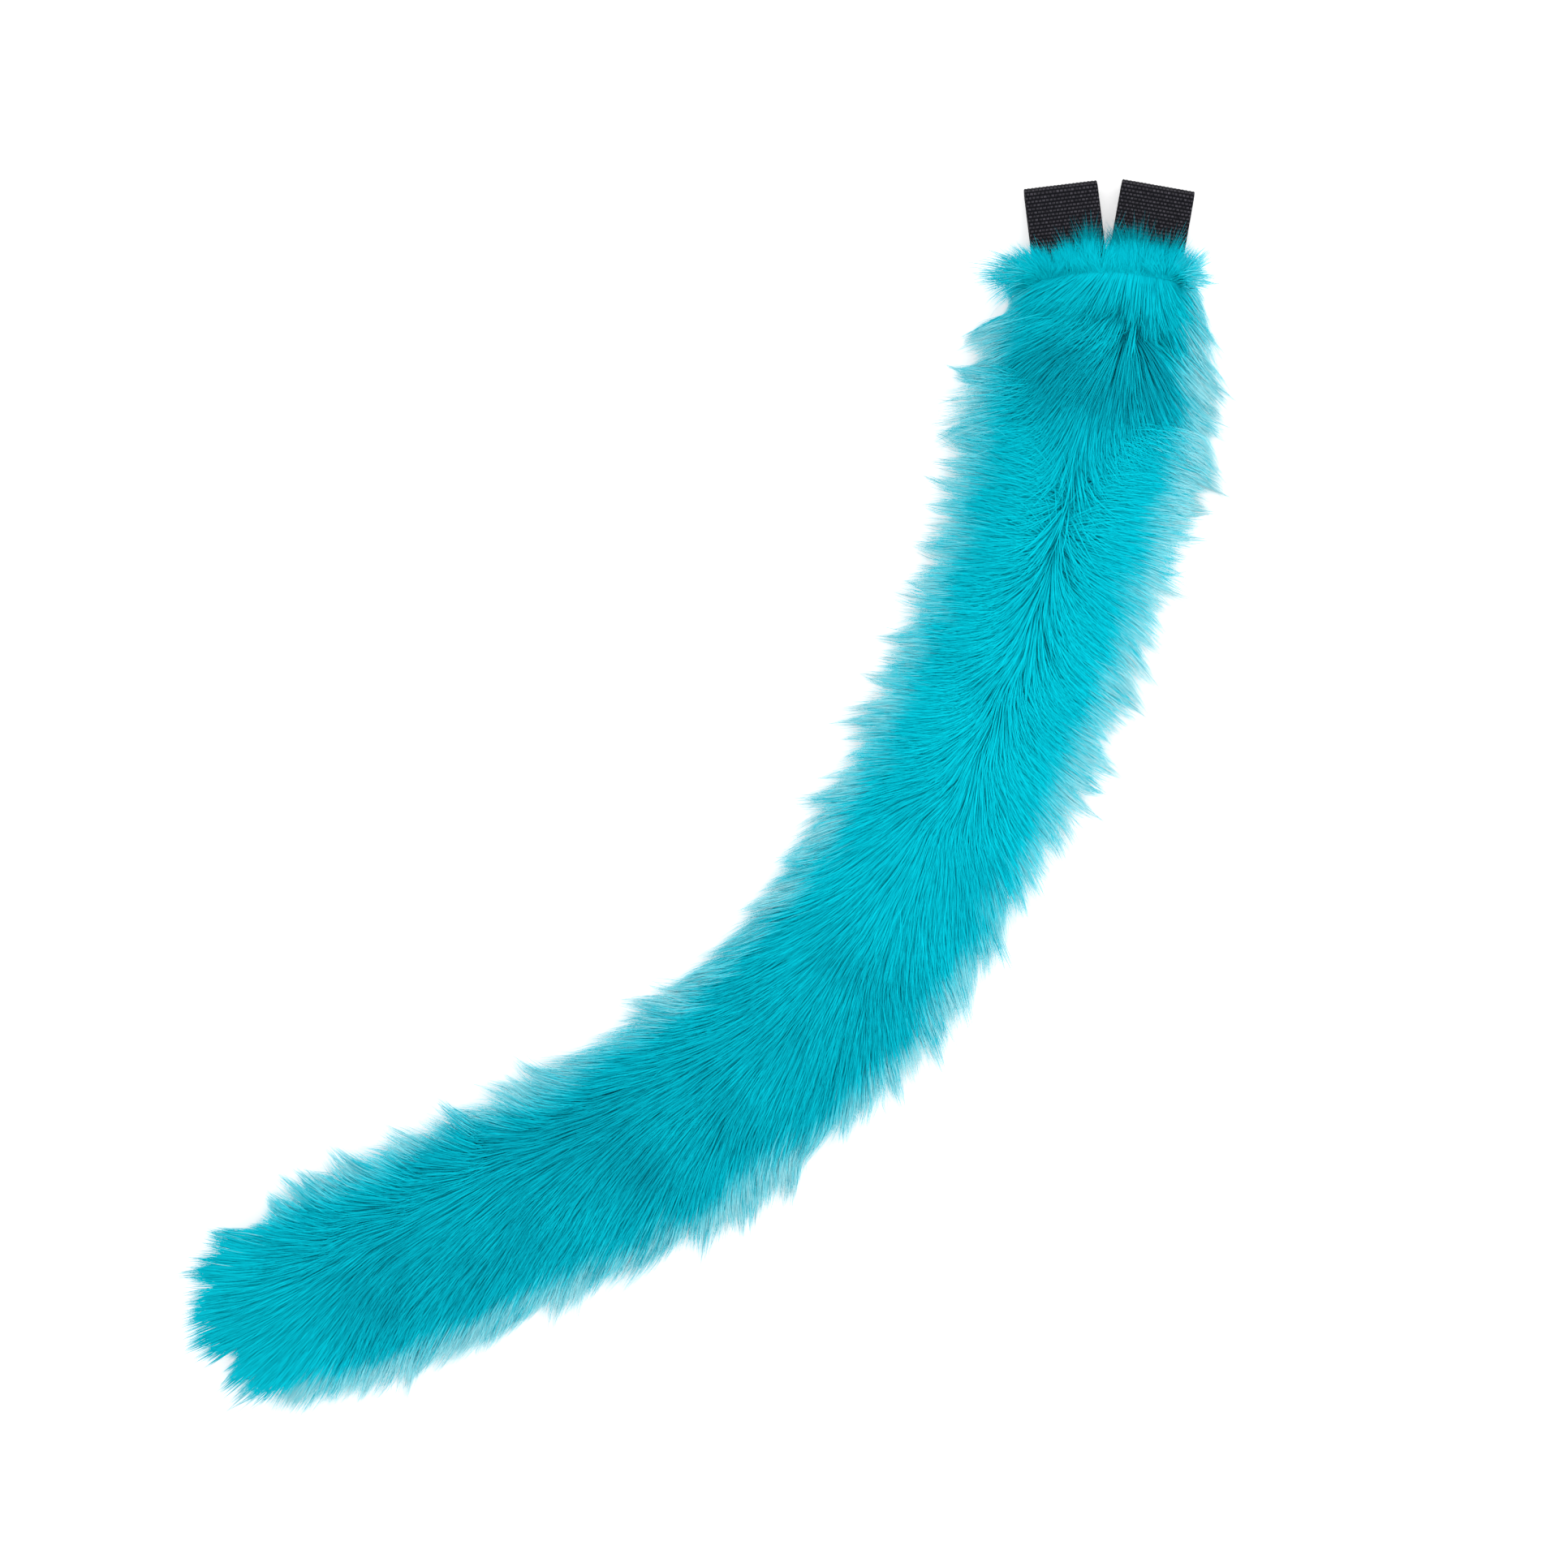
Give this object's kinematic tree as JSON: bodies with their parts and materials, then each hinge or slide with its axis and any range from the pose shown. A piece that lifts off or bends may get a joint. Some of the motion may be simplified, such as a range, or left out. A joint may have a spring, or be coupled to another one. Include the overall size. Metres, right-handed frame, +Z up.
{
  "type": "costume animal tail",
  "caption": "Curved costume animal tail in turquoise long-pile faux fur, lying flat, with folded black webbing belt loops sewn into its top seam so that it can be worn on a belt.",
  "frame": {"origin": "on the surface that the tail lies on, under the middle of its outline", "axes": "+Z up from the surface towards the viewer, +Y towards the belt loops, +X towards the outside of the curve"},
  "size_m": [0.4506, 0.5328, 0.042],
  "materials": {
    "fur": "long-pile acrylic faux fur, soft sheen",
    "webbing": "ribbed woven webbing, dull"
  },
  "bodies": {
    "root": {"fur_tail": "fur", "belt_loop_left": "webbing", "belt_loop_right": "webbing"}
  },
  "joints": []
}
